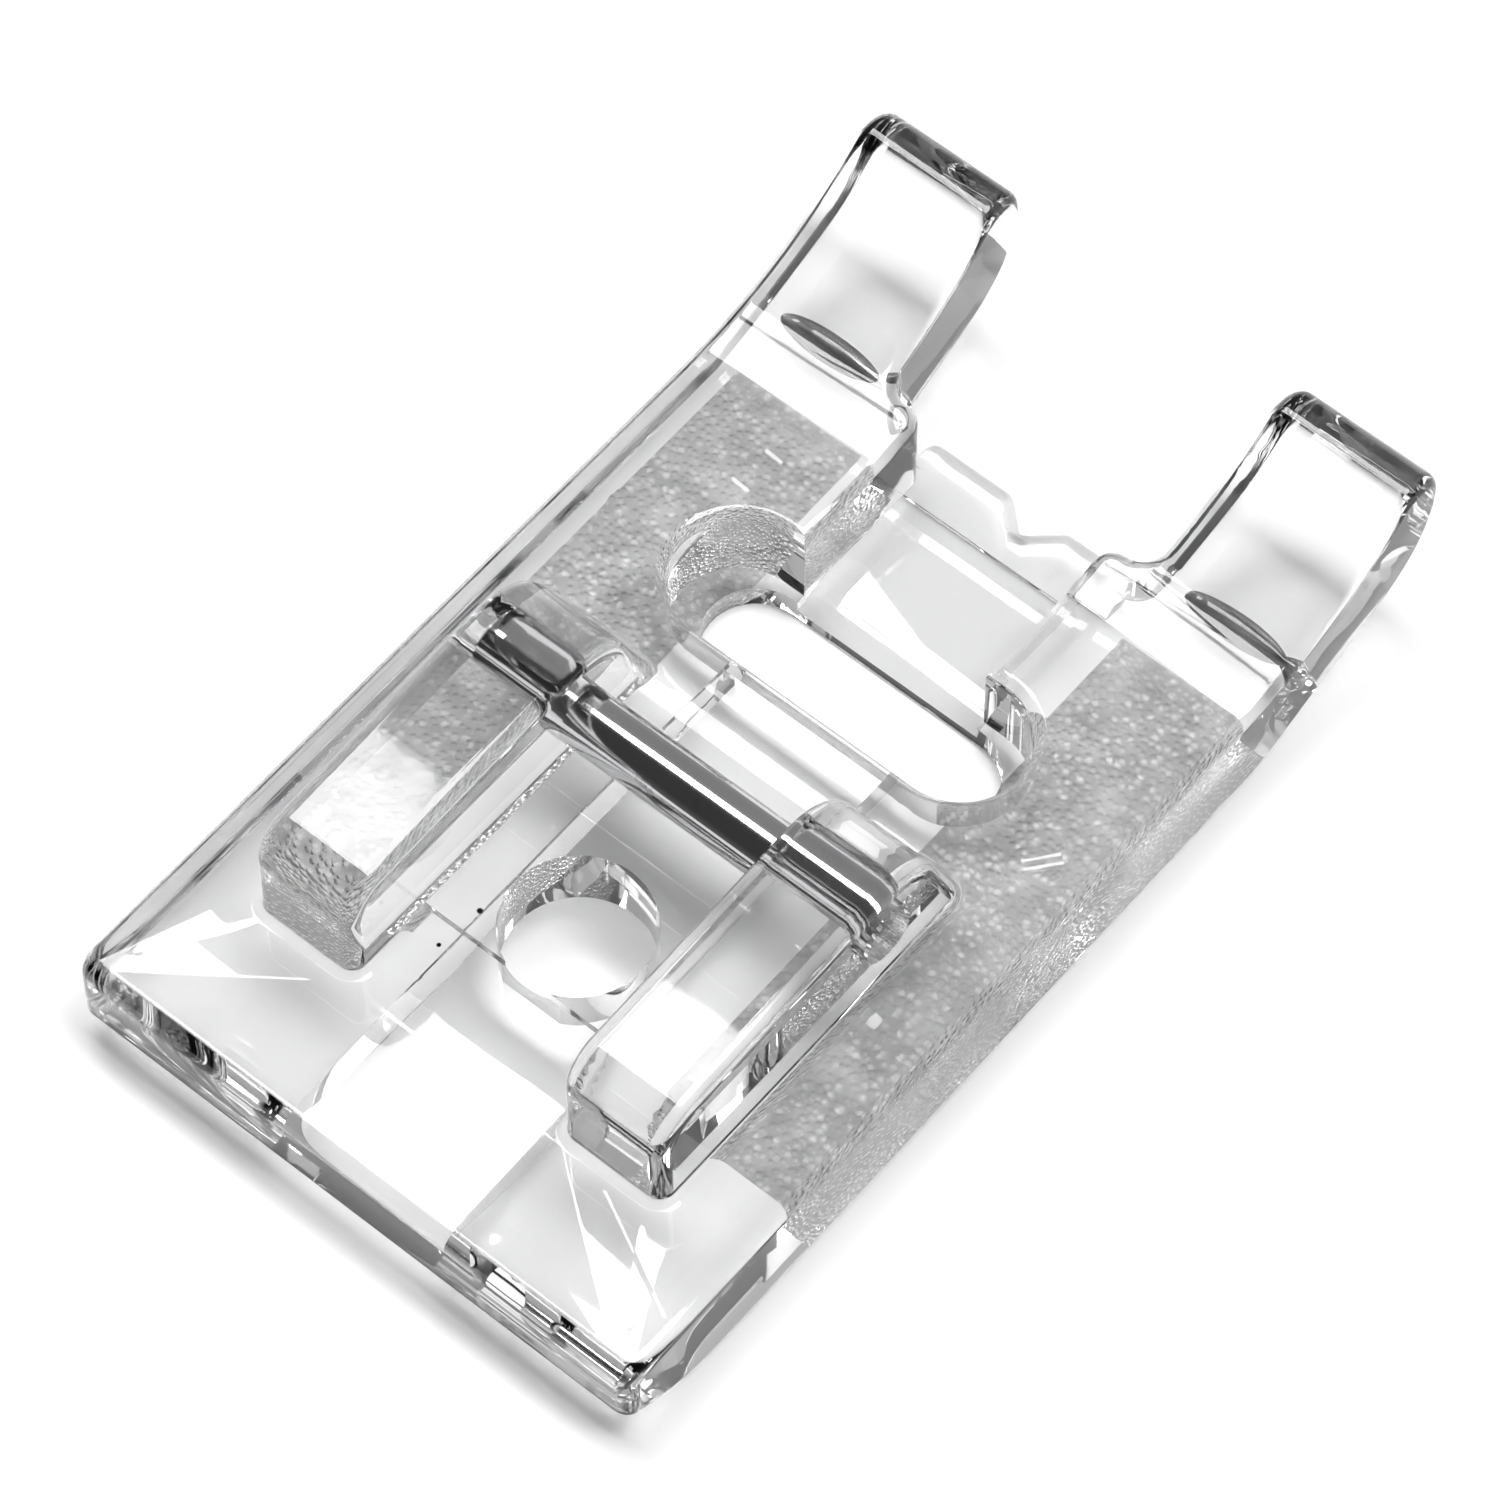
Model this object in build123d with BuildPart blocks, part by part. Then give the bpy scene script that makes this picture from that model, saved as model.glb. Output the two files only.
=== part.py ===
from build123d import *
from math import acos, asin, atan2, cos, degrees, hypot, radians, sin, tan
import os

os.makedirs("parts", exist_ok=True)

# Clear clip-on presser foot: one moulded body and one steel cross pin.
# The foot rests on its sole at z = 0. Z is up, the toes point to -Y, and the pin lies along X.
# Lengths along the foot are measured forward from its rear edge. Millimetres throughout.

# Sole plate
foot_length = 35.3
plate_width = 20.0
plate_height = 3.55
sole_start = 7.6  # where the flat sole begins, in front of the curved-up rear
rear_curve_radius = 12.0
edge_round = 0.4

# Toes
toe_reach = 8.5  # from where the sole bends up to the tips
toe_top_reach = 9.7  # from where the plate's top begins to bend up to the tips
toe_bend_low_radius = 4.0
toe_slope_low = 21.0
toe_bend_top_radius = 12.0
toe_slope_top = 35.5
nose_radius = 3.4
tip_round = 1.2
gap_depth = 6.5  # from the front face of the web between the toes to the tips
gap_width_root = 9.6
gap_width_tip = 10.3
gap_root_round = 0.8

# Sunken floor in front of and around the needle slot
floor_height = 0.8
channel_width = 6.6
pocket_centre = 21.25
pocket_spacing = 8.1
pocket_radius = 2.05

# Tongue and its notch
tongue_set_back = 5.25  # from its front edge to the tips
tongue_width = 8.1
tongue_corner_round = 0.4
tongue_front_round = 0.68  # leaves a thin front edge
notch_width = 2.1
notch_depth = 0.9
notch_round = 0.15

# Needle slot
slot_centre = 21.35
slot_length = 10.2
slot_width = 3.3
slot_bevel_length = 1.2
slot_bevel_drop = 0.45

# Ribs
rib_rear = 4.55
rib_front = 17.4
rib_gap = 7.4
rib_thickness = 3.6
rib_rear_round = 1.4
rib_top_slope = 2.5  # degrees, the crown rises towards the pin
rib_barrel_wall = 1.35  # plastic round the pin
rib_edge_round = 0.5
rib_base_round = 0.35

# Floor between the ribs
ankle_floor_rear = 7.5
ankle_floor_front = 16.4
ankle_floor_rise = 0.3
ankle_ramp_length = 1.0
hole_centre = 9.6
hole_radius = 2.25

# Tunnel under the sole
tunnel_width = 5.8
tunnel_depth = 0.9
tunnel_mouth_length = 1.1
tunnel_mouth_rise = 0.8

# Cross pin
pin_diameter = 1.86
pin_centre = 14.1
pin_height_above_plate = 1.9
pin_end_recess = 0.35
pin_end_chamfer = 0.15

# Places worked out from the sizes above
rear_y = foot_length / 2
half_width = plate_width / 2
pin_z = plate_height + pin_height_above_plate
rib_outer = rib_gap / 2 + rib_thickness
barrel_radius = pin_diameter / 2 + rib_barrel_wall
rib_top = pin_z + barrel_radius
pin_length = 2 * (rib_outer - pin_end_recess)
toe_bend = foot_length - toe_reach
toe_top_bend = foot_length - toe_top_reach
gap_root = foot_length - gap_depth
web_nose_round = (gap_width_root - channel_width) / 2 - gap_root_round
tongue_front = foot_length - tongue_set_back
through = rib_top * 2
pick_margin = 0.05  # how far off its place an edge may lie and still be picked
upright = 0.99  # an edge whose direction rises more than this stands on end

# Side plane: first coordinate forward from the rear edge, second coordinate up.
side_plane = Plane(origin=(0, rear_y, 0), x_dir=(0, -1, 0), z_dir=(-1, 0, 0))
# Plan plane: first coordinate forward from the rear edge, second coordinate along +X.
plan_plane = Plane(origin=(0, rear_y, 0), x_dir=(0, -1, 0), z_dir=(0, 0, 1))

# Steel cross pin, chamfered at both ends
with BuildPart() as cross_pin:
    with BuildSketch(Plane.YZ.offset(-pin_length / 2)):
        with Locations((rear_y - pin_centre, pin_z)):
            Circle(pin_diameter / 2)
    extrude(amount=pin_length)
    chamfer(cross_pin.edges().filter_by(GeomType.CIRCLE), pin_end_chamfer)

# One rib: round rear shoulder, crown that rises gently, barrel round the pin, sloping front
with BuildPart() as rib:
    with BuildSketch(side_plane.offset(rib_gap / 2)):
        slope = radians(rib_top_slope)
        shoulder_run = pin_centre - (rib_rear + rib_rear_round)
        shoulder_rise = (barrel_radius - rib_rear_round - sin(slope) * shoulder_run) / cos(slope)
        front_run = rib_front - pin_centre
        front_reach = hypot(front_run, pin_height_above_plate)
        front_tilt = acos(barrel_radius / front_reach) - atan2(pin_height_above_plate, front_run)
        with BuildLine():
            rear_foot = (rib_rear, plate_height / 2)
            front_foot = (rib_front, plate_height / 2)
            rear_face = Line(rear_foot, (rib_rear, pin_z + shoulder_rise))
            rear_round = JernArc(rear_face @ 1, (0, 1), rib_rear_round, rib_top_slope - 90)
            barrel_start = (pin_centre - barrel_radius * sin(slope), pin_z + barrel_radius * cos(slope))
            crown = Line(rear_round @ 1, barrel_start)
            barrel_turn = degrees(front_tilt) - 90 - rib_top_slope
            barrel = JernArc(crown @ 1, (cos(slope), sin(slope)), barrel_radius, barrel_turn)
            front_face = Line(barrel @ 1, (rib_front, plate_height))
            Polyline(front_face @ 1, front_foot, rear_foot)
        make_face()
    extrude(amount=rib_thickness)
    rib_sides = rib.faces().filter_by(Axis.X)
    top_edges = rib_sides.edges().filter_by(lambda e: e.center().Z > plate_height)
    fillet(top_edges, rib_edge_round)

# Thin tongue: round corners, a centre notch and a rounded-over front
with BuildPart() as tongue:
    tongue_rear = gap_root - gap_root_round
    with BuildSketch(plan_plane):
        with Locations((tongue_rear, 0)):
            Rectangle(tongue_front - tongue_rear, tongue_width, align=(Align.MIN, Align.CENTER))
        with BuildLine():
            Polyline(
                (tongue_front, notch_width / 2),
                (tongue_front - notch_depth, 0),
                (tongue_front, -notch_width / 2),
                close=True,
            )
        make_face(mode=Mode.SUBTRACT)
        fillet(vertices().group_by(Axis.X)[-1], tongue_corner_round)
        fillet(vertices().filter_by(lambda v: abs(v.Y) < pick_margin), notch_round)
    extrude(amount=floor_height)
    front_edges = tongue.faces().sort_by(Axis.Z)[-1].edges().filter_by(
        lambda e: e.center().Y < rear_y - tongue_rear - pick_margin
        and abs(e.center().X) < tongue_width / 2 - pick_margin
    )
    fillet(front_edges, tongue_front_round)

# Moulded body
with BuildPart() as foot_body:
    # Sole plate and toes, drawn as one side profile across the whole width
    with BuildSketch(side_plane):
        with BuildLine():
            rear_turn = degrees(asin(sole_start / rear_curve_radius))
            rear_curve = JernArc((sole_start, 0), (-1, 0), rear_curve_radius, -rear_turn)
            sole = Line((sole_start, 0), (toe_bend, 0))
            toe_heel = JernArc(sole @ 1, (1, 0), toe_bend_low_radius, toe_slope_low)
            low = radians(toe_slope_low)
            nose_start = foot_length - nose_radius * (1 - sin(low))
            toe_run = nose_start - (toe_heel @ 1).X
            toe_sole = Line(toe_heel @ 1, (nose_start, (toe_heel @ 1).Y + toe_run * tan(low)))
            tip_nose = JernArc(toe_sole @ 1, (cos(low), sin(low)), nose_radius, 90 - toe_slope_low)
            plate_top = Line((0, plate_height), (toe_top_bend, plate_height))
            toe_rise = JernArc(plate_top @ 1, (1, 0), toe_bend_top_radius, toe_slope_top)
            top_run = foot_length - (toe_rise @ 1).X
            tip = (foot_length, (toe_rise @ 1).Y + top_run * tan(radians(toe_slope_top)))
            Line(toe_rise @ 1, tip)
            Line(tip, tip_nose @ 1)
            Line(rear_curve @ 1, (0, plate_height))
        make_face()
        tip_corner = vertices().sort_by(Axis.Y)[-1]
        fillet(tip_corner, tip_round)
    extrude(amount=half_width, both=True)

    # Gap between the toes, a little wider at the tips, with round corners at its root
    with BuildSketch(plan_plane):
        with BuildLine():
            Polyline(
                (gap_root, gap_width_root / 2),
                (foot_length + tip_round, gap_width_tip / 2),
                (foot_length + tip_round, -gap_width_tip / 2),
                (gap_root, -gap_width_root / 2),
                close=True,
            )
        make_face()
        fillet(vertices().sort_by(Axis.X)[:2], gap_root_round)
    extrude(amount=through, mode=Mode.SUBTRACT)

    # Sunken floor: round pockets at both ends of the slot and a channel to the front, where
    # the walls curve out into the gap
    with BuildSketch(plan_plane.offset(floor_height)):
        with Locations((pocket_centre, 0)):
            SlotCenterToCenter(pocket_spacing, 2 * pocket_radius, rotation=90)
            Rectangle(foot_length, channel_width, align=(Align.MIN, Align.CENTER))
        nose_side = channel_width / 2 + web_nose_round
        with Locations((gap_root - web_nose_round, 0)):
            Rectangle(web_nose_round, 2 * nose_side, align=(Align.MIN, Align.CENTER))
        with Locations((gap_root - web_nose_round, nose_side), (gap_root - web_nose_round, -nose_side)):
            Circle(web_nose_round, mode=Mode.SUBTRACT)
    extrude(amount=plate_height, mode=Mode.SUBTRACT)

    # Softened edges all round both sides of the plate, the tips, the gap and the sunken floor's rim
    outer_sides = foot_body.faces().filter_by(Axis.X).group_by(SortBy.AREA)[-1]
    fillet(outer_sides.edges(), edge_round)
    gap_edges = foot_body.edges().filter_by(
        lambda e: abs(e.center().X) < gap_width_tip / 2
        and e.center().Y < rear_y - gap_root + pick_margin
        and abs(e.tangent_at(0.5).Z) < upright
        and abs(e.center().X) > channel_width / 2
    )
    rim_edges = foot_body.edges().filter_by(
        lambda e: abs(e.center().Z - plate_height) < pick_margin
        and abs(e.center().X) < half_width - 2 * edge_round
        and rear_y - gap_root < e.center().Y < rear_y - pocket_centre + pocket_radius + pick_margin
    )
    fillet(gap_edges + rim_edges, edge_round)

    # Ribs on both sides of the ankle gap
    add(rib.part)
    add(mirror(rib.part, Plane.YZ, mode=Mode.PRIVATE))
    rib_feet = foot_body.edges().filter_by(
        lambda e: abs(e.center().Z - plate_height) < pick_margin
        and abs(e.center().X) < rib_outer + pick_margin
        and rear_y - rib_front - pick_margin < e.center().Y < rear_y - rib_rear + pick_margin
    )
    fillet(rib_feet, rib_base_round)

    # Thin tongue that runs on past the web
    add(tongue.part)

    # Needle slot through the floor, bevelled where the tongue begins
    with BuildSketch(plan_plane):
        with Locations((slot_centre, 0)):
            SlotOverall(slot_length, slot_width, rotation=90)
    extrude(amount=plate_height, mode=Mode.SUBTRACT)
    slot_front = slot_centre + slot_width / 2
    with BuildSketch(side_plane):
        with BuildLine():
            Polyline(
                (slot_front, floor_height),
                (slot_front + slot_bevel_length, floor_height),
                (slot_front, floor_height - slot_bevel_drop),
                close=True,
            )
        make_face()
    extrude(amount=channel_width / 2, both=True, mode=Mode.SUBTRACT)

    # Raised floor between the ribs, which ramps down to the plate in front of the pin
    with BuildSketch(side_plane):
        with BuildLine():
            Polyline(
                (ankle_floor_rear, plate_height),
                (ankle_floor_rear, plate_height + ankle_floor_rise),
                (ankle_floor_front, plate_height + ankle_floor_rise),
                (ankle_floor_front + ankle_ramp_length, plate_height),
                close=True,
            )
        make_face()
    extrude(amount=rib_gap / 2, both=True)

    # Round hole behind the pin
    with BuildSketch(plan_plane):
        with Locations((hole_centre, 0)):
            Circle(hole_radius)
    extrude(amount=rib_top, mode=Mode.SUBTRACT)

    # Tunnel under the sole, flared where it opens into the slot
    slot_rear = slot_centre - slot_width / 2
    with BuildSketch(side_plane):
        with BuildLine():
            Polyline(
                (0, 0),
                (0, tunnel_depth),
                (slot_rear - tunnel_mouth_length, tunnel_depth),
                (slot_rear, tunnel_depth + tunnel_mouth_rise),
                (slot_rear, 0),
                close=True,
            )
        make_face()
    extrude(amount=tunnel_width / 2, both=True, mode=Mode.SUBTRACT)

    # Bore for the pin through both ribs
    with BuildSketch(Plane.YZ.offset(-half_width)):
        with Locations((rear_y - pin_centre, pin_z)):
            Circle(pin_diameter / 2)
    extrude(amount=plate_width, mode=Mode.SUBTRACT)

foot_body.part.label = "foot_body"
cross_pin.part.label = "cross_pin"
export_step(foot_body.part, "parts/foot_body.step")
export_step(cross_pin.part, "parts/cross_pin.step")
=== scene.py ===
import math

import bmesh
import bpy
from bpy.props import FloatProperty, FloatVectorProperty, IntProperty, PointerProperty
from mathutils import Matrix, Vector


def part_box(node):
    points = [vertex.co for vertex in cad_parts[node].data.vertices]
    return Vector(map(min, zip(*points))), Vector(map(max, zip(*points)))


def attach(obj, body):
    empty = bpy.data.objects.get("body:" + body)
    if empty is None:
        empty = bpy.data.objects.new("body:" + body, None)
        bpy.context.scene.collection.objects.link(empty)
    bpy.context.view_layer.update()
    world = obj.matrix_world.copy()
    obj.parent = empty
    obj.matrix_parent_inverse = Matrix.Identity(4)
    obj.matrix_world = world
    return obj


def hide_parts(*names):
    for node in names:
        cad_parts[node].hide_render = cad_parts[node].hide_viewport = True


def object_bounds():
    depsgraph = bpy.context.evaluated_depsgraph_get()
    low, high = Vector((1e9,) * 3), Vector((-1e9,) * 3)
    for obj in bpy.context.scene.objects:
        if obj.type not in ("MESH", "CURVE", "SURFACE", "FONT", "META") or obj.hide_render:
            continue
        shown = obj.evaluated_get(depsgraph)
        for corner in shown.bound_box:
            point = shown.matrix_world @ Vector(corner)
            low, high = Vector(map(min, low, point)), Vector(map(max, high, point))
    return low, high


bl_info = {
    "name": "Clear Presser Foot",
    "version": (1, 0, 0),
    "blender": (4, 5, 0),
    "location": "3D View > Sidebar > Presser Foot",
    "description": "Dresses the packed presser foot: clear body, steel cross pin, pale stage",
    "category": "Object",
}

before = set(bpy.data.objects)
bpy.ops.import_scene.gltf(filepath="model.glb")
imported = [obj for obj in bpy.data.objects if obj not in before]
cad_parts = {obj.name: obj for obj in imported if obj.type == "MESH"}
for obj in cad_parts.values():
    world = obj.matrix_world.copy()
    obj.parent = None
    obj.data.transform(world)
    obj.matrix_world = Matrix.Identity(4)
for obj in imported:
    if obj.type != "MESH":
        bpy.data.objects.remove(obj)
CAD_LOW, CAD_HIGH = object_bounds()
PIN_LOW, PIN_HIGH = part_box("cross_pin")
MM = 0.001

# Places on the moulding, in millimetres.
REAR_Y = CAD_HIGH.y / MM
HALF_WIDTH = CAD_HIGH.x / MM
PLATE_TOP = 3.55
VOID_FROM_REAR = 29.62


# Properties

class BodyLook(bpy.types.PropertyGroup):
    """Finish of the clear moulded body"""

    weld: FloatProperty(
        name="Weld", description="Distance within which corners of the solid's mesh are joined",
        default=0.0005 * MM, unit="LENGTH", precision=8,
    )
    crease: FloatProperty(
        name="Crease", description="Edges that turn by more than this stay sharp",
        default=math.radians(32), subtype="ANGLE",
    )
    tint: FloatVectorProperty(
        name="Tint", description="Colour of the clear plastic",
        default=(0.985, 0.985, 0.985), subtype="COLOR", size=3, min=0, max=1,
    )
    index: FloatProperty(
        name="Index", description="Index of refraction of the plastic", default=1.49, min=1,
    )
    polish: FloatProperty(
        name="Polish", description="Roughness of the polished faces",
        default=0.02, subtype="FACTOR", min=0, max=1,
    )
    stipple_rough: FloatProperty(
        name="Stipple roughness", description="Roughness of the stippled sole",
        default=0.22, subtype="FACTOR", min=0, max=1,
    )
    # Painted shade: how far the base colour darkens the stippled sole, in place of the inner reflection
    # and shadow that grey it.
    stipple_painted_shade: FloatProperty(
        name="Stipple painted shade", description="How far the stippled sole dims what shows through it",
        default=0.52, subtype="FACTOR", min=0, max=1,
    )
    stipple_size: FloatProperty(
        name="Stipple size", description="Width of one grain of the stippled sole",
        default=0.25 * MM, unit="LENGTH", precision=6,
    )
    stipple_depth: FloatProperty(
        name="Stipple depth", description="Depth of the grain of the stippled sole",
        default=0.035 * MM, unit="LENGTH", precision=6,
    )
    ripple_size: FloatProperty(
        name="Ripple size", description="Width of the faint waves that moulding leaves",
        default=2.6 * MM, unit="LENGTH", precision=6,
    )
    ripple_depth: FloatProperty(
        name="Ripple depth", description="Depth of the faint waves that moulding leaves",
        default=0.006 * MM, unit="LENGTH", precision=6,
    )
    void_size: FloatVectorProperty(
        name="Void size",
        description="Half width, length and thickness of the hollow in each toe's root",
        default=(1.8 * MM, 0.5 * MM, 0.16 * MM), subtype="XYZ", size=3, precision=6,
    )
    void_place: FloatVectorProperty(
        name="Void place", description="Centre of the hollow in the toe on the +X side",
        default=(7.45 * MM, (REAR_Y - VOID_FROM_REAR) * MM, 1.75 * MM),
        subtype="XYZ", size=3, precision=6,
    )
    void_lean: FloatProperty(
        name="Void lean", description="How far the hollow leans up towards the tip",
        default=math.radians(20), subtype="ANGLE",
    )
    # Painted shade in the hollow of each toe's root: how dark it is painted.
    void_painted_shade: FloatProperty(
        name="Void painted shade", description="How dark the hollow in each toe's root looks",
        default=0.9, subtype="FACTOR", min=0, max=1,
    )
    scratch_depth: FloatProperty(
        name="Scratch depth", description="Depth of the scratches on the plate",
        default=0.014 * MM, unit="LENGTH", precision=6,
    )


class PinLook(bpy.types.PropertyGroup):
    """Finish of the steel cross pin"""

    steel: FloatVectorProperty(
        name="Steel", description="Colour of the ground steel",
        default=(0.62, 0.62, 0.63), subtype="COLOR", size=3, min=0, max=1,
    )
    rough: FloatProperty(
        name="Roughness", description="Roughness of the ground steel",
        default=0.1, subtype="FACTOR", min=0, max=1,
    )
    sides: IntProperty(
        name="Sides", description="Facets round the pin", default=96, min=12,
    )
    chamfer: FloatProperty(
        name="Chamfer", description="Bevel at the pin's ends",
        default=0.15 * MM, unit="LENGTH", precision=6,
    )
    seat: FloatProperty(
        name="Seat", description="How far the pin presses into the wall of its bore",
        default=0.004 * MM, unit="LENGTH", precision=6,
    )


class StageLook(bpy.types.PropertyGroup):
    """Camera, floor and lights"""

    azimuth: FloatProperty(
        name="Azimuth", description="Direction of the camera round the foot",
        default=math.radians(219.88), subtype="ANGLE",
    )
    elevation: FloatProperty(
        name="Elevation", description="Height of the camera above the horizon",
        default=math.radians(58.86), subtype="ANGLE",
    )
    distance: FloatProperty(
        name="Distance", description="From the camera to the point that it looks at",
        default=209.0 * MM, unit="LENGTH", precision=5,
    )
    aim: FloatVectorProperty(
        name="Aim", description="Point on the floor that the camera looks at",
        default=(1.237 * MM, -1.033 * MM, 0.0), subtype="XYZ", size=3, precision=6,
    )
    lens: FloatProperty(
        name="Lens", description="Focal length in millimetres", default=175.56, min=1,
    )
    floor: FloatVectorProperty(
        name="Floor", description="Colour of the floor",
        default=(0.95, 0.95, 0.95), subtype="COLOR", size=3, min=0, max=1,
    )
    floor_gap: FloatProperty(
        name="Floor gap", description="Air between the sole and the floor",
        default=0.02 * MM, unit="LENGTH", precision=6,
    )
    lamp_height: FloatProperty(
        name="Lamp height", description="From the floor to the overhead lamps",
        default=2000 * MM, unit="LENGTH",
    )
    lamp_width: FloatProperty(
        name="Lamp width", description="Length of the overhead lamps, across the foot",
        default=2200 * MM, unit="LENGTH",
    )
    lamp_glow: FloatProperty(
        name="Lamp glow", description="Radiance of the overhead lamps", default=13.2, min=0,
    )
    front_glow: FloatProperty(
        name="Front glow", description="Radiance of the room in front of the toes",
        default=0.28, min=0,
    )
    rear_glow: FloatProperty(
        name="Rear glow", description="Radiance of the dark room behind the camera",
        default=0.06, min=0,
    )
    horizon_glow: FloatProperty(
        name="Horizon glow", description="Radiance of the pale screen round the horizon",
        default=0.06, min=0,
    )


# Node helpers

def add_node(tree, kind, inputs=None, **settings):
    """New node with its settings, and its sockets set or linked from inputs."""
    node = tree.nodes.new(kind)
    for name, value in settings.items():
        setattr(node, name, value)
    for name, value in (inputs or {}).items():
        if isinstance(value, bpy.types.NodeSocket):
            tree.links.new(value, node.inputs[name])
        else:
            node.inputs[name].default_value = value
    return node


def calc(tree, operation, *values):
    """Output of a Math node."""
    return add_node(
        tree, "ShaderNodeMath", dict(enumerate(values)), operation=operation
    ).outputs[0]


def fade(tree, value, start, end):
    """1 where value is at start, falling smoothly to 0 at end."""
    inputs = {"Value": value, "From Min": start, "From Max": end, "To Min": 1.0, "To Max": 0.0}
    return add_node(
        tree, "ShaderNodeMapRange", inputs, interpolation_type="SMOOTHSTEP"
    ).outputs[0]


def new_material(name, kind="ShaderNodeBsdfPrincipled"):
    """Empty material with an output and one shader."""
    material = bpy.data.materials.new(name)
    material.use_nodes = True
    tree = material.node_tree
    tree.nodes.clear()
    output = add_node(tree, "ShaderNodeOutputMaterial")
    shader = add_node(tree, kind)
    tree.links.new(shader.outputs[0], output.inputs["Surface"])
    return material, tree, shader


def place(mesh_name, bm, material):
    """New object at the origin that takes over the bmesh."""
    mesh = bpy.data.meshes.new(mesh_name)
    bm.to_mesh(mesh)
    bm.free()
    mesh.materials.append(material)
    piece = bpy.data.objects.new(mesh_name, mesh)
    bpy.context.scene.collection.objects.link(piece)
    return piece


# Clear plastic

# Scratches on the plate, seen from above, in millimetres: start, end, width, half the gap of a pair.
SCRATCHES = (
    ((-8.06, -1.35), (-8.77, -2.25), 0.20, 0.14),
    ((-5.71, 13.69), (-9.44, 15.57), 0.15, 0.0),
    ((6.26, -6.65), (5.60, -6.59), 0.25, 0.675),
)
# How far from the plate's top a face still takes the scratches, in millimetres.
SCRATCH_BAND = 0.15
# Specks of dirt: place and radius, in millimetres, and the share of the radius that is fully dark.
SPECKS = (
    ((2.37, 9.40, 3.85), 0.12),
    ((2.65, 10.81, PLATE_TOP), 0.09),
)
SPECK_CORE = 0.6
# Stippled part of the sole, one on each side of the middle, in millimetres: centre and half size.
STIPPLE_X = 7.125
STIPPLE_HALF_X = 2.325
STIPPLE_Y = -0.125
STIPPLE_HALF_Y = 10.175
STIPPLE_HALF_Z = 0.13
# Grain of the stipple: where a grain ends, how rare its bright grains are and how bright; the bright
# grains lighten the sole's painted shade.
GRAIN_EDGE = (0.1, 0.75)
GRAIN_RARITY = 3.0
GRAIN_LIGHT = 0.7
# Broad mottling of the stipple's painted shade: size against the grain, range and lowest value.
MOTTLE_SCALE = 0.2
MOTTLE_RANGE = 0.8
MOTTLE_LOW = 0.6
# Painted shade in the hollows in the toes' roots: margin round each, room for its lean in millimetres,
# streaks on its walls.
VOID_MARGIN = 1.1
VOID_LEAN_ROOM = 0.2
STREAK_STRETCH = (0.12, 1.0, 1.0)
STREAK_SCALE = 4.0
STREAK_EDGE = (0.35, 0.7)
STREAK_RANGE = 0.25


def along_line(tree, where, direction):
    """Dot product of the place with a direction in the plane of the plate."""
    inputs = {0: where, 1: (direction.x, direction.y, 0.0)}
    dot = add_node(tree, "ShaderNodeVectorMath", inputs, operation="DOT_PRODUCT")
    return dot.outputs["Value"]


def scratch(tree, where, start, end, width, half_gap):
    """1 on a straight scratch, or a pair of them, falling evenly to 0 at the sides."""
    start = Vector(start) * MM
    run = Vector(end) * MM - start
    forward = run / run.length_squared
    sideways = Vector((-run.y, run.x)).normalized() * 2 / (width * MM)
    middle = forward.dot(start) + 0.5
    inside = calc(tree, "COMPARE", along_line(tree, where, forward), middle, 0.5)
    aside = calc(tree, "SUBTRACT", along_line(tree, where, sideways), sideways.dot(start))
    if half_gap:
        aside = calc(tree, "SUBTRACT", calc(tree, "ABSOLUTE", aside), 2 * half_gap / width)
    depth = calc(tree, "SUBTRACT", 1.0, calc(tree, "ABSOLUTE", aside))
    return calc(tree, "MULTIPLY", inside, depth)


def paint_void_shade(tree, where, look):
    """Streaky painted shade on the walls of the hollows in the toes' roots, 0 elsewhere."""
    axes = add_node(tree, "ShaderNodeSeparateXYZ", {0: where}).outputs
    shade = None
    for axis, middle, reach in zip("XYZ", look.void_place, look.void_size):
        spot = calc(tree, "ABSOLUTE", axes["X"]) if axis == "X" else axes[axis]
        reach = reach * VOID_MARGIN + (VOID_LEAN_ROOM * MM if axis == "Z" else 0.0)
        inside = calc(tree, "COMPARE", spot, middle, reach)
        shade = inside if shade is None else calc(tree, "MULTIPLY", shade, inside)
    streak = add_node(
        tree, "ShaderNodeMapping", {"Vector": where, "Scale": STREAK_STRETCH}
    ).outputs[0]
    streak = add_node(
        tree, "ShaderNodeTexNoise", {"Vector": streak, "Scale": STREAK_SCALE / MM, "Detail": 1.0}
    ).outputs[0]
    streak = fade(tree, streak, *STREAK_EDGE)
    streak = calc(tree, "MULTIPLY_ADD", streak, STREAK_RANGE, look.void_painted_shade - STREAK_RANGE)
    return calc(tree, "MULTIPLY", shade, streak)


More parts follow.
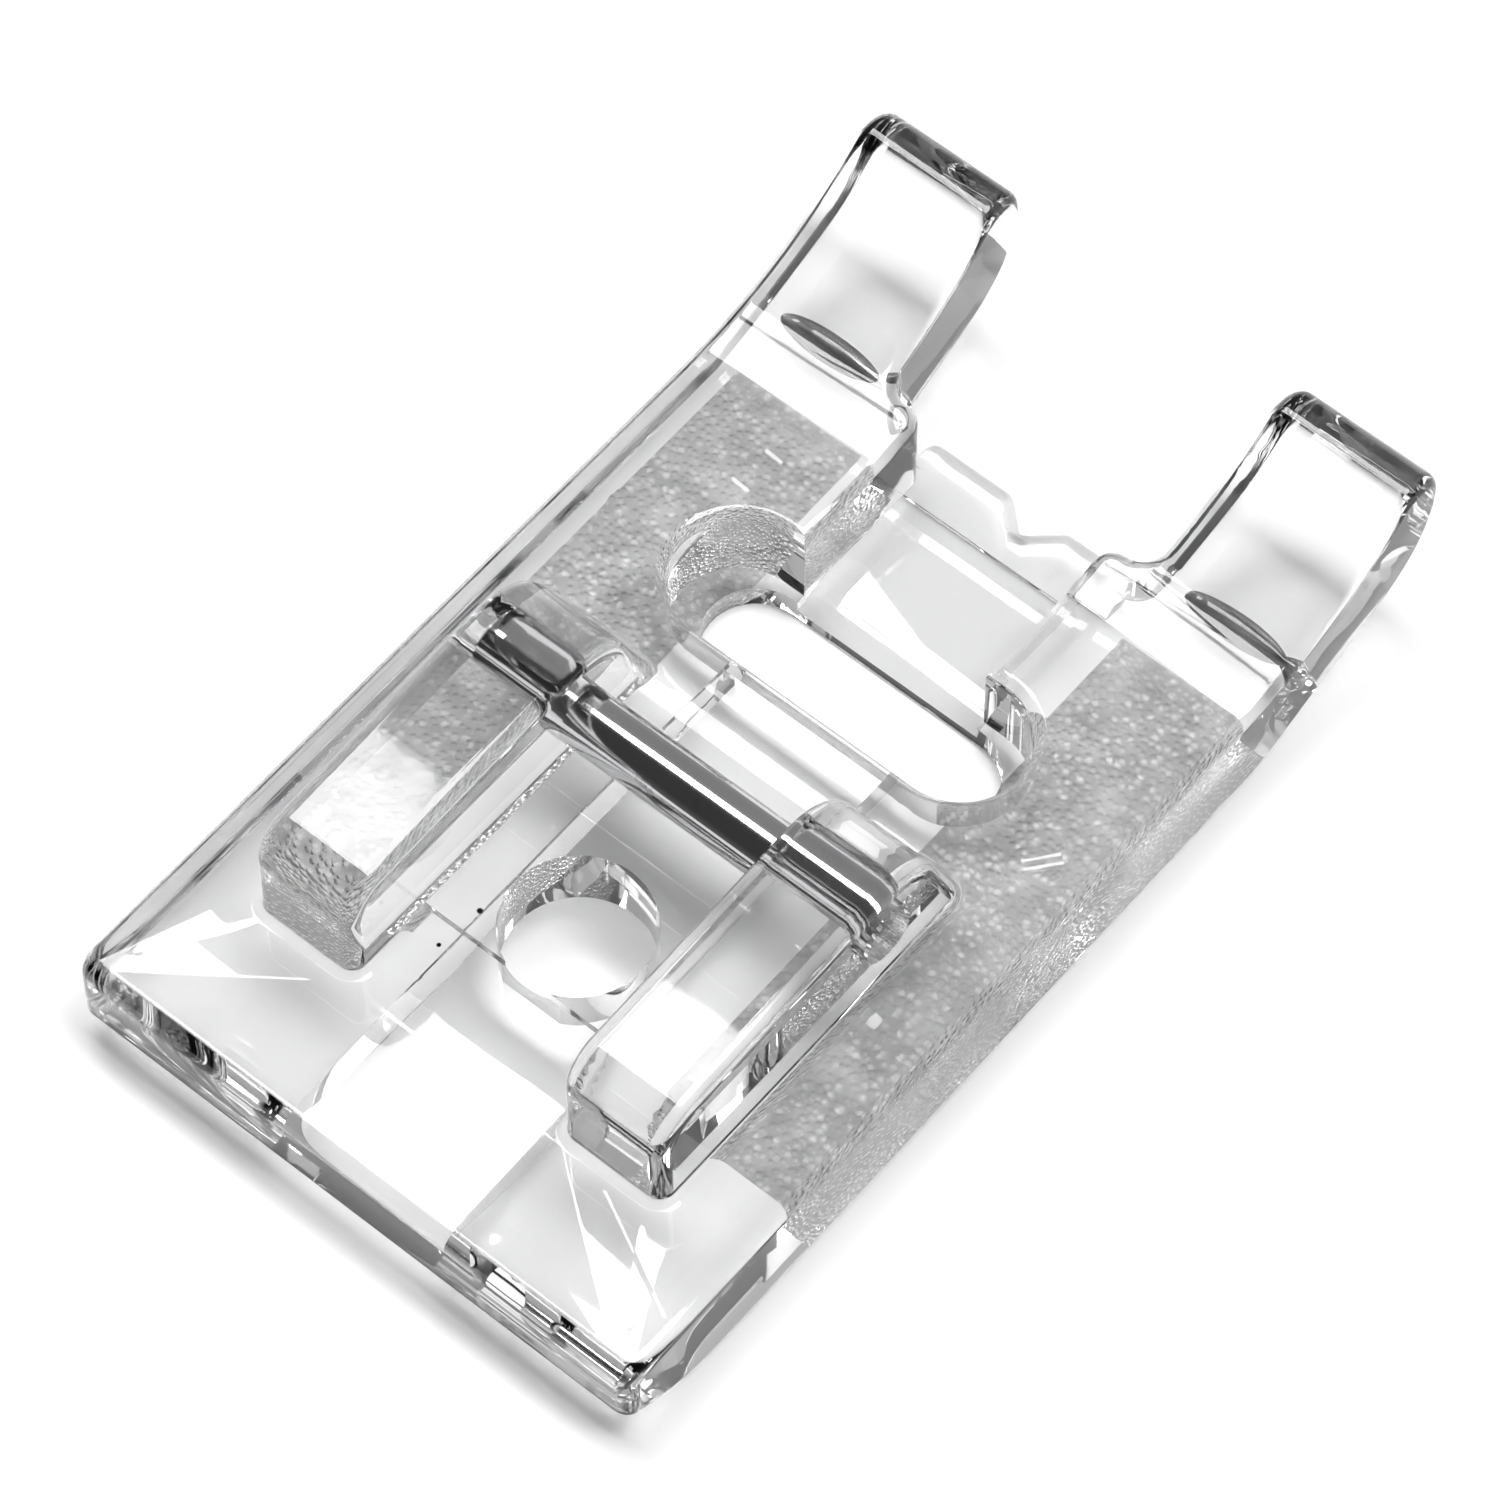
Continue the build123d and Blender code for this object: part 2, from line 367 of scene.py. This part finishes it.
def clear_plastic(look):
    """Polished clear plastic with a stippled sole, faint moulding waves and a few scratches, with
    painted shade on the sole and in the toes' hollows.
    """
    material, tree, shader = new_material("clear_plastic")
    where = add_node(tree, "ShaderNodeTexCoord").outputs["Object"]
    axes = add_node(tree, "ShaderNodeSeparateXYZ", {0: where}).outputs
    aside = calc(tree, "ABSOLUTE", axes["X"])
    beside_channel = calc(tree, "COMPARE", aside, STIPPLE_X * MM, STIPPLE_HALF_X * MM)
    between_ends = calc(tree, "COMPARE", axes["Y"], STIPPLE_Y * MM, STIPPLE_HALF_Y * MM)
    sole = calc(tree, "MULTIPLY", beside_channel, between_ends)
    sole = calc(tree, "MULTIPLY", sole, calc(tree, "COMPARE", axes["Z"], 0.0, STIPPLE_HALF_Z * MM))
    grain = add_node(
        tree, "ShaderNodeTexVoronoi", {"Vector": where, "Scale": 1 / look.stipple_size},
        voronoi_dimensions="2D",
    )
    grain_tone = add_node(
        tree, "ShaderNodeSeparateXYZ", {0: grain.outputs["Color"]}
    ).outputs["X"]
    grain = fade(tree, grain.outputs["Distance"], *GRAIN_EDGE)
    bright = calc(tree, "MULTIPLY", grain, calc(tree, "POWER", grain_tone, GRAIN_RARITY))
    mottle = add_node(
        tree, "ShaderNodeTexNoise",
        {"Vector": where, "Scale": MOTTLE_SCALE / look.stipple_size, "Detail": 1.0},
        noise_dimensions="2D",
    ).outputs[0]
    # Painted shade on the stippled sole, lighter on its bright grains and mottled.
    dim = calc(tree, "MULTIPLY", sole, calc(tree, "MULTIPLY_ADD", bright, -GRAIN_LIGHT, 1.0))
    mottle = calc(tree, "MULTIPLY_ADD", mottle, MOTTLE_RANGE, MOTTLE_LOW)
    dim = calc(tree, "MULTIPLY", dim, mottle)
    dim = calc(tree, "MULTIPLY", dim, look.stipple_painted_shade)
    for spot, radius in SPECKS:
        away = add_node(
            tree, "ShaderNodeVectorMath", {0: where, 1: Vector(spot) * MM}, operation="DISTANCE"
        ).outputs["Value"]
        dirt = fade(tree, away, SPECK_CORE * radius * MM, radius * MM)
        dim = calc(tree, "MAXIMUM", dim, dirt)
    # Painted shade on the sole and in the toes' hollows, together with the specks of dirt, darkens the
    # tint.
    tone = add_node(
        tree, "ShaderNodeMix", {0: calc(tree, "MAXIMUM", dim, paint_void_shade(tree, where, look))},
        data_type="RGBA",
    )
    tone.inputs["A"].default_value = (*look.tint, 1.0)
    tone.inputs["B"].default_value = (0.0, 0.0, 0.0, 1.0)
    tree.links.new(tone.outputs["Result"], shader.inputs["Base Color"])
    ripple = add_node(
        tree, "ShaderNodeTexNoise",
        {"Vector": where, "Scale": 1 / look.ripple_size, "Detail": 0.0},
    ).outputs[0]
    marks = 0.0
    for line in SCRATCHES:
        marks = calc(tree, "MAXIMUM", marks, scratch(tree, where, *line))
    on_top = calc(tree, "COMPARE", axes["Z"], PLATE_TOP * MM, SCRATCH_BAND * MM)
    marks = calc(tree, "MULTIPLY", marks, on_top)
    height = calc(tree, "MULTIPLY", calc(tree, "MULTIPLY", grain, sole), look.stipple_depth)
    height = calc(tree, "MULTIPLY_ADD", ripple, look.ripple_depth, height)
    height = calc(tree, "MULTIPLY_ADD", marks, -look.scratch_depth, height)
    bumps = add_node(
        tree, "ShaderNodeBump", {"Height": height, "Distance": 1.0, "Strength": 1.0}
    ).outputs[0]
    rough = calc(tree, "MULTIPLY_ADD", sole, look.stipple_rough - look.polish, look.polish)
    tree.links.new(rough, shader.inputs["Roughness"])
    tree.links.new(bumps, shader.inputs["Normal"])
    shader.distribution = "GGX"
    shader.inputs["Transmission Weight"].default_value = 1.0
    shader.inputs["IOR"].default_value = look.index
    return material


# Rear of the moulding, in millimetres: the underside's fuller curve, the tunnel and the rounds.
FILL_FRONT = REAR_Y - 7.6
REAR_CURVE = 6.0
REAR_CURVE_START = REAR_Y - 3.67
TUNNEL_HALF = 2.9
TUNNEL_TOP = 1.55
TUNNEL_FRONT = REAR_Y - 19.7
TUNNEL_BEND = REAR_Y - 6.0
TUNNEL_TOP_REAR = 1.15
REAR_ROUND = 0.6
SIDE_ROUND = 0.4
RIB_CLEAR = 13.4
ARC_STEPS = 8
# How far the tunnel's solid reaches past the sole and the rear edge.
OVERSHOOT = 1.0
# The rims that are rounded lie below this share of a solid's height.
RIM_SHARE = 0.9
RIM_SEGMENTS = 5
# Slack of the cuts, in metres.
CUT_SLACK = 1e-8
BEHIND_SLACK = 1e-7
VOID_SUBDIVISIONS = 4
# How strongly large faces set the shading at their corners, in percent.
FLAT_WEIGHT = 100


def rear_fill_outline():
    """Side outline, as (y, z), of the plastic that makes the rear's underside fuller."""
    top = PLATE_TOP - REAR_ROUND
    turn = math.asin((REAR_Y - REAR_CURVE_START) / REAR_CURVE)
    curve = [
        (
            REAR_CURVE_START + REAR_CURVE * math.sin(turn * i / ARC_STEPS),
            REAR_CURVE * (1 - math.cos(turn * i / ARC_STEPS)),
        )
        for i in range(ARC_STEPS + 1)
    ]
    return [(FILL_FRONT, top), (FILL_FRONT, 0.0), *curve, (REAR_Y, top)]


def tunnel_outline():
    """Side outline, as (y, z), of the tunnel under the sole, which runs out at the rear edge."""
    return [
        (TUNNEL_FRONT, -OVERSHOOT),
        (REAR_Y + OVERSHOOT, -OVERSHOOT),
        (REAR_Y + OVERSHOOT, TUNNEL_TOP_REAR),
        (REAR_Y, TUNNEL_TOP_REAR),
        (TUNNEL_BEND, TUNNEL_TOP),
        (TUNNEL_FRONT, TUNNEL_TOP),
    ]


def prism(name, outline, half_width, side_round=0.0):
    """Closed solid: a side outline drawn out along X, rounded along its lower rims."""
    bm = bmesh.new()
    corners = [bm.verts.new((-half_width * MM, y * MM, z * MM)) for y, z in outline]
    side = bm.faces.new(corners)
    drawn = bmesh.ops.extrude_face_region(bm, geom=[side], use_keep_orig=True)["geom"]
    drawn = [v for v in drawn if isinstance(v, bmesh.types.BMVert)]
    bmesh.ops.translate(bm, verts=drawn, vec=(2 * half_width * MM, 0.0, 0.0))
    bmesh.ops.recalc_face_normals(bm, faces=bm.faces)
    if side_round:
        limit = RIM_SHARE * max(z for _, z in outline) * MM
        rims = [
            e for e in bm.edges
            if e.verts[0].co.x == e.verts[1].co.x and all(v.co.z < limit for v in e.verts)
        ]
        bmesh.ops.bevel(
            bm, geom=rims, offset=side_round * MM, affect="EDGES", segments=RIM_SEGMENTS,
            profile=0.5, material=-1,
        )
    mesh = bpy.data.meshes.new(name)
    bm.to_mesh(mesh)
    bm.free()
    tool = bpy.data.objects.new(name, mesh)
    bpy.context.scene.collection.objects.link(tool)
    return tool


def refill(bm, steps):
    """Bmesh with solids added or cut away, in steps of (operation, solid)."""
    mesh = bpy.data.meshes.new("raw")
    bm.to_mesh(mesh)
    bm.free()
    raw = bpy.data.objects.new("raw", mesh)
    bpy.context.scene.collection.objects.link(raw)
    for operation, tool in steps:
        change = raw.modifiers.new(tool.name, "BOOLEAN")
        change.operation = operation
        change.object = tool
        change.solver = "EXACT"
    view = bpy.context.evaluated_depsgraph_get()
    bm = bmesh.new()
    bm.from_object(raw, view)
    for spent in (raw, *(tool for _, tool in steps)):
        bpy.data.objects.remove(spent)
    return bm


def slice_off(bm, point, normal):
    """Cut away what lies beyond a plane behind the ribs, and close the cut with a flat face."""
    behind = RIB_CLEAR * MM - BEHIND_SLACK
    verts = [v for v in bm.verts if v.co.y > behind]
    edges = [e for e in bm.edges if all(v.co.y > behind for v in e.verts)]
    faces = [f for f in bm.faces if all(v.co.y > behind for v in f.verts)]
    cut = bmesh.ops.bisect_plane(
        bm, geom=verts + edges + faces, dist=CUT_SLACK,
        plane_co=Vector(point) * MM, plane_no=normal, clear_outer=True,
    )
    rim = [e for e in cut["geom_cut"] if isinstance(e, bmesh.types.BMEdge)]
    rim = [e for e in rim if e.is_boundary]
    bmesh.ops.holes_fill(bm, edges=rim)


def round_rear(bm):
    """Round the rear edge and both rear corners with slices that touch a ball."""
    bmesh.ops.bisect_plane(
        bm, geom=bm.verts[:] + bm.edges[:] + bm.faces[:], dist=CUT_SLACK,
        plane_co=(0.0, RIB_CLEAR * MM, 0.0), plane_no=(0.0, 1.0, 0.0),
    )
    centre_y = REAR_Y - REAR_ROUND
    centre_z = PLATE_TOP - REAR_ROUND
    for up in range(ARC_STEPS):
        tilt = math.radians(90 * up / ARC_STEPS)
        for turn in range(ARC_STEPS - 1):
            swing = math.radians(90 * turn / ARC_STEPS)
            for side in (1, -1) if turn else (1,):
                if up == 0 and turn == 0:
                    continue
                normal = Vector((
                    side * math.cos(tilt) * math.sin(swing),
                    math.cos(tilt) * math.cos(swing),
                    math.sin(tilt),
                ))
                centre = Vector((side * (HALF_WIDTH - REAR_ROUND), centre_y, centre_z))
                slice_off(bm, centre + normal * REAR_ROUND, normal)


def shrink_void(bm, look, side):
    """Add the lens-shaped hollow that shrinkage leaves inside the thick root of one toe."""
    made = bmesh.ops.create_icosphere(bm, subdivisions=VOID_SUBDIVISIONS, radius=1.0)["verts"]
    bmesh.ops.scale(bm, verts=made, vec=look.void_size)
    lean = Matrix.Rotation(-look.void_lean, 3, "X")
    bmesh.ops.rotate(bm, cent=(0, 0, 0), matrix=lean, verts=made)
    x, y, z = look.void_place
    bmesh.ops.translate(bm, verts=made, vec=(side * x, y, z))
    faces = {face for vert in made for face in vert.link_faces}
    bmesh.ops.reverse_faces(bm, faces=list(faces))


class PRESSER_OT_body(bpy.types.Operator):
    """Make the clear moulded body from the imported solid, with true flats and smooth rounds"""

    bl_idname = "presser.body"
    bl_label = "Clear body"

    def execute(self, context):
        look = context.scene.presser_body
        bm = bmesh.new()
        bm.from_mesh(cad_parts["foot_body"].data)
        bmesh.ops.remove_doubles(bm, verts=bm.verts, dist=look.weld)
        bm = refill(bm, (
            ("UNION", prism("rear_fill", rear_fill_outline(), HALF_WIDTH, SIDE_ROUND)),
            ("DIFFERENCE", prism("tunnel", tunnel_outline(), TUNNEL_HALF)),
        ))
        round_rear(bm)
        bmesh.ops.remove_doubles(bm, verts=bm.verts, dist=look.weld)
        for side in (1, -1):
            shrink_void(bm, look, side)
        for face in bm.faces:
            face.smooth = True
        for edge in bm.edges:
            edge.smooth = edge.is_manifold and edge.calc_face_angle() < look.crease
        body = place("clear_body", bm, clear_plastic(look))
        flats = body.modifiers.new("true_flats", "WEIGHTED_NORMAL")
        flats.keep_sharp = True
        flats.weight = FLAT_WEIGHT
        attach(body, "root")
        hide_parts("foot_body")
        return {"FINISHED"}


# Steel pin

# Grinding rings: stretch, scale per millimetre, detail, and how far they vary roughness and height.
RING_STRETCH = (1.0, 0.06, 0.06)
RING_SCALE = 9.0
RING_DETAIL = 4.0
RING_HARSHNESS = 0.7
RING_SPREAD = 0.06
RING_DEPTH = 0.002
# Stains: scale per millimetre, detail and darkest tone.
STAIN_SCALE = 0.7
STAIN_DETAIL = 3.0
STAIN_TONE = 0.86
CHAMFER_SEGMENTS = 2
# Faces that point along the pin by more than this are its flat ends.
END_FACE = 0.9


def ground_steel(look):
    """Ground steel with fine rings round the pin."""
    material, tree, shader = new_material("ground_steel")
    where = add_node(tree, "ShaderNodeTexCoord").outputs["Object"]
    rings = add_node(
        tree, "ShaderNodeMapping", {"Vector": where, "Scale": RING_STRETCH}
    ).outputs[0]
    grind = add_node(
        tree, "ShaderNodeTexNoise",
        {"Vector": rings, "Scale": RING_SCALE / MM, "Detail": RING_DETAIL, "Roughness": RING_HARSHNESS},
    ).outputs[0]
    stain = add_node(
        tree, "ShaderNodeTexNoise",
        {"Vector": where, "Scale": STAIN_SCALE / MM, "Detail": STAIN_DETAIL},
    ).outputs[0]
    tone = add_node(tree, "ShaderNodeMix", {0: stain}, data_type="RGBA")
    tone.inputs["A"].default_value = (*(c * STAIN_TONE for c in look.steel), 1.0)
    tone.inputs["B"].default_value = (*look.steel, 1.0)
    tree.links.new(tone.outputs["Result"], shader.inputs["Base Color"])
    rough = calc(tree, "MULTIPLY_ADD", grind, RING_SPREAD, look.rough - RING_SPREAD / 2)
    tree.links.new(rough, shader.inputs["Roughness"])
    bump = add_node(
        tree, "ShaderNodeBump", {"Height": grind, "Distance": RING_DEPTH * MM, "Strength": 1.0}
    ).outputs[0]
    tree.links.new(bump, shader.inputs["Normal"])
    shader.inputs["Metallic"].default_value = 1.0
    return material


class PRESSER_OT_pin(bpy.types.Operator):
    """Make the ground steel cross pin, with chamfered ends"""

    bl_idname = "presser.pin"
    bl_label = "Cross pin"

    def execute(self, context):
        look = context.scene.presser_pin
        centre = (PIN_LOW + PIN_HIGH) / 2
        radius = (PIN_HIGH.z - PIN_LOW.z) / 2 + look.seat
        length = PIN_HIGH.x - PIN_LOW.x
        bm = bmesh.new()
        bmesh.ops.create_cone(
            bm, cap_ends=True, segments=look.sides, radius1=radius, radius2=radius, depth=length
        )
        rims = [e for e in bm.edges if abs(e.verts[0].co.z - e.verts[1].co.z) < length / 2]
        bmesh.ops.bevel(
            bm, geom=rims, offset=look.chamfer, affect="EDGES", segments=CHAMFER_SEGMENTS,
            profile=0.5, material=-1,
        )
        turn = Matrix.Translation(centre) @ Matrix.Rotation(math.pi / 2, 4, "Y")
        bmesh.ops.transform(bm, matrix=turn, verts=bm.verts)
        bmesh.ops.recalc_face_normals(bm, faces=bm.faces)
        for face in bm.faces:
            face.smooth = abs(face.normal.x) < END_FACE
        pin = place("steel_pin", bm, ground_steel(look))
        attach(pin, "root")
        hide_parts("cross_pin")
        return {"FINISHED"}


# Stage

# Overhead lamps: where each begins and ends, in degrees from straight up towards the toes.
LAMPS = {"main_lamp": (5.6, 17.7), "fill_lamp": (0.3, 4.7)}
# Where the room's glow ends, as the sine of the angle towards the rear and above the horizon.
FRONT_EDGE = (-0.24, 0.16)
HORIZON_EDGE = (0.08, 0.4)
# Camera and floor, in metres.
CLIP_START = 0.01
FLOOR_HALF = 1.5
BOUNCES = 7
GLOSSY_BOUNCES = 4


class PRESSER_OT_stage(bpy.types.Operator):
    """Set up the camera, the pale floor and the soft studio light"""

    bl_idname = "presser.stage"
    bl_label = "Stage"

    def execute(self, context):
        look = context.scene.presser_stage
        scene = context.scene
        a, e = look.azimuth, look.elevation
        back = Vector((math.sin(a) * math.cos(e), -math.cos(a) * math.cos(e), math.sin(e)))
        camera = bpy.data.objects.new("camera", bpy.data.cameras.new("camera"))
        camera.data.lens = look.lens
        camera.data.clip_start = CLIP_START
        camera.location = Vector(look.aim) + back * look.distance
        camera.rotation_mode = "QUATERNION"
        camera.rotation_quaternion = (-back).to_track_quat("-Z", "Y")
        scene.collection.objects.link(camera)
        scene.camera = camera

        material, _, shader = new_material("pale_floor", "ShaderNodeBsdfDiffuse")
        shader.inputs["Color"].default_value = (*look.floor, 1.0)
        bm = bmesh.new()
        bmesh.ops.create_grid(bm, x_segments=1, y_segments=1, size=FLOOR_HALF)
        bmesh.ops.translate(bm, verts=bm.verts, vec=(0.0, 0.0, CAD_LOW.z - look.floor_gap))
        floor = place("floor", bm, material)

        for name, (near, far) in LAMPS.items():
            spread = math.radians(far - near)
            lean = math.radians(far + near) / 2
            lamp = bpy.data.lights.new(name, "AREA")
            lamp.shape = "RECTANGLE"
            lamp.size = look.lamp_width
            lamp.size_y = 2 * look.lamp_height * math.tan(spread / 2)
            lamp.energy = look.lamp_glow * math.pi * lamp.size * lamp.size_y
            softbox = bpy.data.objects.new(name, lamp)
            softbox.location = Vector((0.0, -math.sin(lean), math.cos(lean))) * look.lamp_height
            softbox.rotation_euler = (lean, 0.0, 0.0)
            scene.collection.objects.link(softbox)

        world = bpy.data.worlds.new("studio")
        world.use_nodes = True
        tree = world.node_tree
        tree.nodes.clear()
        output = add_node(tree, "ShaderNodeOutputWorld")
        where = add_node(tree, "ShaderNodeTexCoord").outputs["Generated"]
        axes = add_node(tree, "ShaderNodeSeparateXYZ", {0: where}).outputs
        front = fade(tree, axes["Y"], *FRONT_EDGE)
        front = calc(tree, "MULTIPLY_ADD", front, look.front_glow, look.rear_glow)
        horizon = calc(tree, "MULTIPLY", fade(tree, axes["Z"], *HORIZON_EDGE), look.horizon_glow)
        glow = calc(tree, "ADD", front, horizon)
        sky = add_node(tree, "ShaderNodeBackground", {"Strength": glow})
        sky.inputs["Color"].default_value = (1.0, 1.0, 1.0, 1.0)
        tree.links.new(sky.outputs[0], output.inputs["Surface"])
        world.cycles.sampling_method = "NONE"
        scene.world = world
        scene.view_settings.view_transform = "Standard"
        scene.cycles.max_bounces = BOUNCES
        scene.cycles.glossy_bounces = GLOSSY_BOUNCES
        scene.cycles.transmission_bounces = BOUNCES
        return {"FINISHED"}


class PRESSER_PT_panel(bpy.types.Panel):
    """Buttons and settings of the presser foot"""

    bl_label = "Presser Foot"
    bl_idname = "PRESSER_PT_panel"
    bl_space_type = "VIEW_3D"
    bl_region_type = "UI"
    bl_category = "Presser Foot"

    def draw(self, context):
        for operator, group in OPERATORS:
            box = self.layout.box()
            box.operator(operator.bl_idname)
            settings = getattr(context.scene, group)
            for name in settings.__annotations__:
                box.prop(settings, name)


OPERATORS = (
    (PRESSER_OT_stage, "presser_stage"),
    (PRESSER_OT_body, "presser_body"),
    (PRESSER_OT_pin, "presser_pin"),
)
GROUPS = {"presser_stage": StageLook, "presser_body": BodyLook, "presser_pin": PinLook}


def register():
    """Register the settings, the operators and the panel."""
    for name, group in GROUPS.items():
        bpy.utils.register_class(group)
        setattr(bpy.types.Scene, name, PointerProperty(type=group))
    for operator, _ in OPERATORS:
        bpy.utils.register_class(operator)
    bpy.utils.register_class(PRESSER_PT_panel)


def unregister():
    """Undo what register did."""
    bpy.utils.unregister_class(PRESSER_PT_panel)
    for operator, _ in reversed(OPERATORS):
        bpy.utils.unregister_class(operator)
    for name, group in reversed(GROUPS.items()):
        delattr(bpy.types.Scene, name)
        bpy.utils.unregister_class(group)


def main():
    """Make the stage and both pieces."""
    register()
    bpy.ops.presser.stage()
    bpy.ops.presser.body()
    bpy.ops.presser.pin()


if __name__ == "__main__":
    main()
